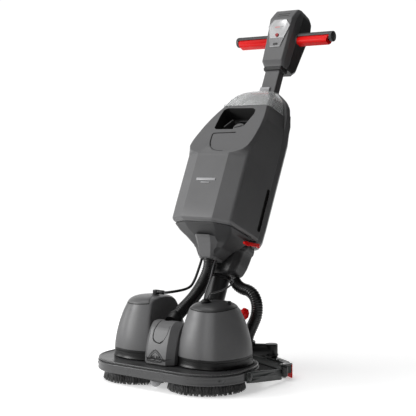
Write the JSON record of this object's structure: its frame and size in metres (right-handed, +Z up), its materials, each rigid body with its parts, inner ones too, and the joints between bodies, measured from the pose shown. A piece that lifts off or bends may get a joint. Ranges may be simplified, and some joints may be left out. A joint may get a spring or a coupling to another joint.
{
  "type": "wet dry floor scrubber",
  "caption": "Walk-behind wet and dry floor scrubber: skirted disc-brush deck with battery domes, suction squeegee, leaning column with stacked tanks and clear lid, T-handle control head.",
  "frame": {"origin": "on the floor, midway between the two brush spindles", "axes": "+X to the left-to-right of the machine seen from the front, +Y to the rear where the operator walks, +Z up"},
  "size_m": [0.52, 0.8245, 1.1231],
  "materials": {
    "cover_grey": "fine moulded texture",
    "housing_dark": "moulded",
    "gloss_black": "polished",
    "bristle": "nylon filament",
    "steel": "brushed",
    "painted_dark": "satin black paint",
    "painted_grey": "satin grey paint",
    "arm_metal": "dark anodised",
    "plate_silver": "satin",
    "red_plastic": "semi-gloss",
    "urethane_red": "smooth",
    "rubber_black": "matt",
    "roller_grey": "matt",
    "tyre_black": "matt",
    "motor_metal": "cast",
    "battery_case": "moulded",
    "board_green": "solder mask",
    "lid_clear": "frosted clear",
    "float_white": "foam",
    "hose_black": "corrugated",
    "cable_black": "matt",
    "cable_grey": "matt",
    "button_dark": "matt",
    "button_grey": "matt"
  },
  "bodies": {
    "deck": {"deck_pan": "housing_dark", "skirt_band": "cover_grey", "plinth": "gloss_black", "left_dome": "cover_grey", "right_dome": "cover_grey", "centre_cover": "cover_grey", "brush_motors": "motor_metal", "batteries": "battery_case", "vacuum_motor": "motor_metal", "tilt_bracket": "painted_dark", "tilt_axle": "steel", "hose_cuff": "gloss_black", "rear_carrier": "painted_dark", "deck_fasteners": "steel", "dome_fittings": "gloss_black", "centre_glide": "float_white", "vacuum_hose": "hose_black", "squeegee_hose": "hose_black", "left_power_cable": "cable_black", "right_power_cable": "cable_grey", "water_tube": "cable_grey"},
    "brush_left": {"left_brush_plate": "housing_dark", "left_bristles": "bristle"},
    "brush_right": {"right_brush_plate": "housing_dark", "right_bristles": "bristle"},
    "fan": {"vacuum_fan": "motor_metal"},
    "wheel_left": {"left_wheel": "tyre_black"},
    "wheel_right": {"right_wheel": "tyre_black"},
    "squeegee": {"squeegee_beam": "arm_metal", "side_arms": "arm_metal", "rear_blade": "urethane_red", "front_blade": "rubber_black", "blade_clamp": "steel", "suction_elbow": "gloss_black"},
    "roller_left": {"left_roller": "roller_grey"},
    "roller_right": {"right_roller": "roller_grey"},
    "knob": {"lock_knob": "red_plastic"},
    "column": {"neck_tube": "painted_dark", "column_tube": "painted_grey", "lower_housing": "cover_grey", "underside_block": "housing_dark", "recovery_tank": "cover_grey", "filler_cap": "cover_grey", "solution_tank": "cover_grey", "standpipe": "housing_dark", "water_pump": "housing_dark", "head_front_cover": "cover_grey", "head_rear_cover": "cover_grey", "head_collar": "housing_dark", "control_plate": "plate_silver", "control_board": "board_green", "handle_bar": "steel", "grips": "cover_grey"},
    "float": {"float_ring": "float_white"},
    "lid": {"tank_lid": "lid_clear"},
    "latch": {"tank_latch": "red_plastic"},
    "trigger_left": {"left_trigger": "red_plastic"},
    "trigger_right": {"right_trigger": "red_plastic"},
    "power_key": {"power_button": "button_dark"},
    "water_key": {"water_button": "button_grey"}
  },
  "joints": [
    {"name": "left_brush_spin", "type": "hinge", "parent": "deck", "child": "brush_left", "pos_m": [-0.1187, 0, 0.03], "axis": [0, 0, 1], "continuous": true},
    {"name": "right_brush_spin", "type": "hinge", "parent": "deck", "child": "brush_right", "pos_m": [0.1187, 0, 0.03], "axis": [0, 0, 1], "continuous": true},
    {"name": "vacuum_fan_spin", "type": "hinge", "parent": "deck", "child": "fan", "pos_m": [0, -0.018, 0.14], "axis": [0, 0, 1], "continuous": true},
    {"name": "left_wheel_spin", "type": "hinge", "parent": "deck", "child": "wheel_left", "pos_m": [-0.064, 0.204, 0.025], "axis": [1, 0, 0], "continuous": true},
    {"name": "right_wheel_spin", "type": "hinge", "parent": "deck", "child": "wheel_right", "pos_m": [0.064, 0.204, 0.025], "axis": [1, 0, 0], "continuous": true},
    {"name": "squeegee_float", "type": "slide", "parent": "deck", "child": "squeegee", "axis": [0, 0, 1], "range_m": [0, 0.014], "deforming": ["squeegee_hose"]},
    {"name": "left_roller_spin", "type": "hinge", "parent": "squeegee", "child": "roller_left", "pos_m": [-0.249, 0.201, 0.027], "axis": [0, 0, 1], "continuous": true},
    {"name": "right_roller_spin", "type": "hinge", "parent": "squeegee", "child": "roller_right", "pos_m": [0.249, 0.201, 0.027], "axis": [0, 0, 1], "continuous": true},
    {"name": "lock_knob_turn", "type": "hinge", "parent": "deck", "child": "knob", "pos_m": [0.119, 0.188, 0.184], "axis": [1, 0, 0], "range_deg": [-120, 0]},
    {"name": "column_tilt", "type": "hinge", "parent": "deck", "child": "column", "pos_m": [0, 0.188, 0.184], "axis": [-1, 0, 0], "range_deg": [-25, 40], "deforming": ["vacuum_hose", "left_power_cable", "right_power_cable", "water_tube", "squeegee_hose"]},
    {"name": "tank_float_lift", "type": "slide", "parent": "column", "child": "float", "axis": [0, 0.4226, 0.9063], "range_m": [0, 0.035]},
    {"name": "tank_lid_open", "type": "hinge", "parent": "column", "child": "lid", "pos_m": [0, 0.46863, 0.84812], "axis": [-1, 0, 0], "range_deg": [0, 95]},
    {"name": "tank_latch_open", "type": "hinge", "parent": "column", "child": "latch", "pos_m": [0.1175, 0.26315, 0.3779], "axis": [1, 0, 0], "range_deg": [0, 35]},
    {"name": "left_trigger_squeeze", "type": "slide", "parent": "column", "child": "trigger_left", "axis": [0, 0.4226, 0.9063], "range_m": [0, 0.005], "stiffness_N_per_m": 1200, "springref_m": -0.001},
    {"name": "right_trigger_squeeze", "type": "slide", "parent": "column", "child": "trigger_right", "axis": [0, 0.4226, 0.9063], "range_m": [0, 0.005], "stiffness_N_per_m": 1200, "springref_m": -0.001},
    {"name": "power_button_press", "type": "slide", "parent": "column", "child": "power_key", "axis": [0, 0.9063, -0.4226], "range_m": [0, 0.002], "stiffness_N_per_m": 600, "springref_m": -0.0005},
    {"name": "water_button_press", "type": "slide", "parent": "column", "child": "water_key", "axis": [0, 0.9063, -0.4226], "range_m": [0, 0.002], "stiffness_N_per_m": 600, "springref_m": -0.0005}
  ]
}
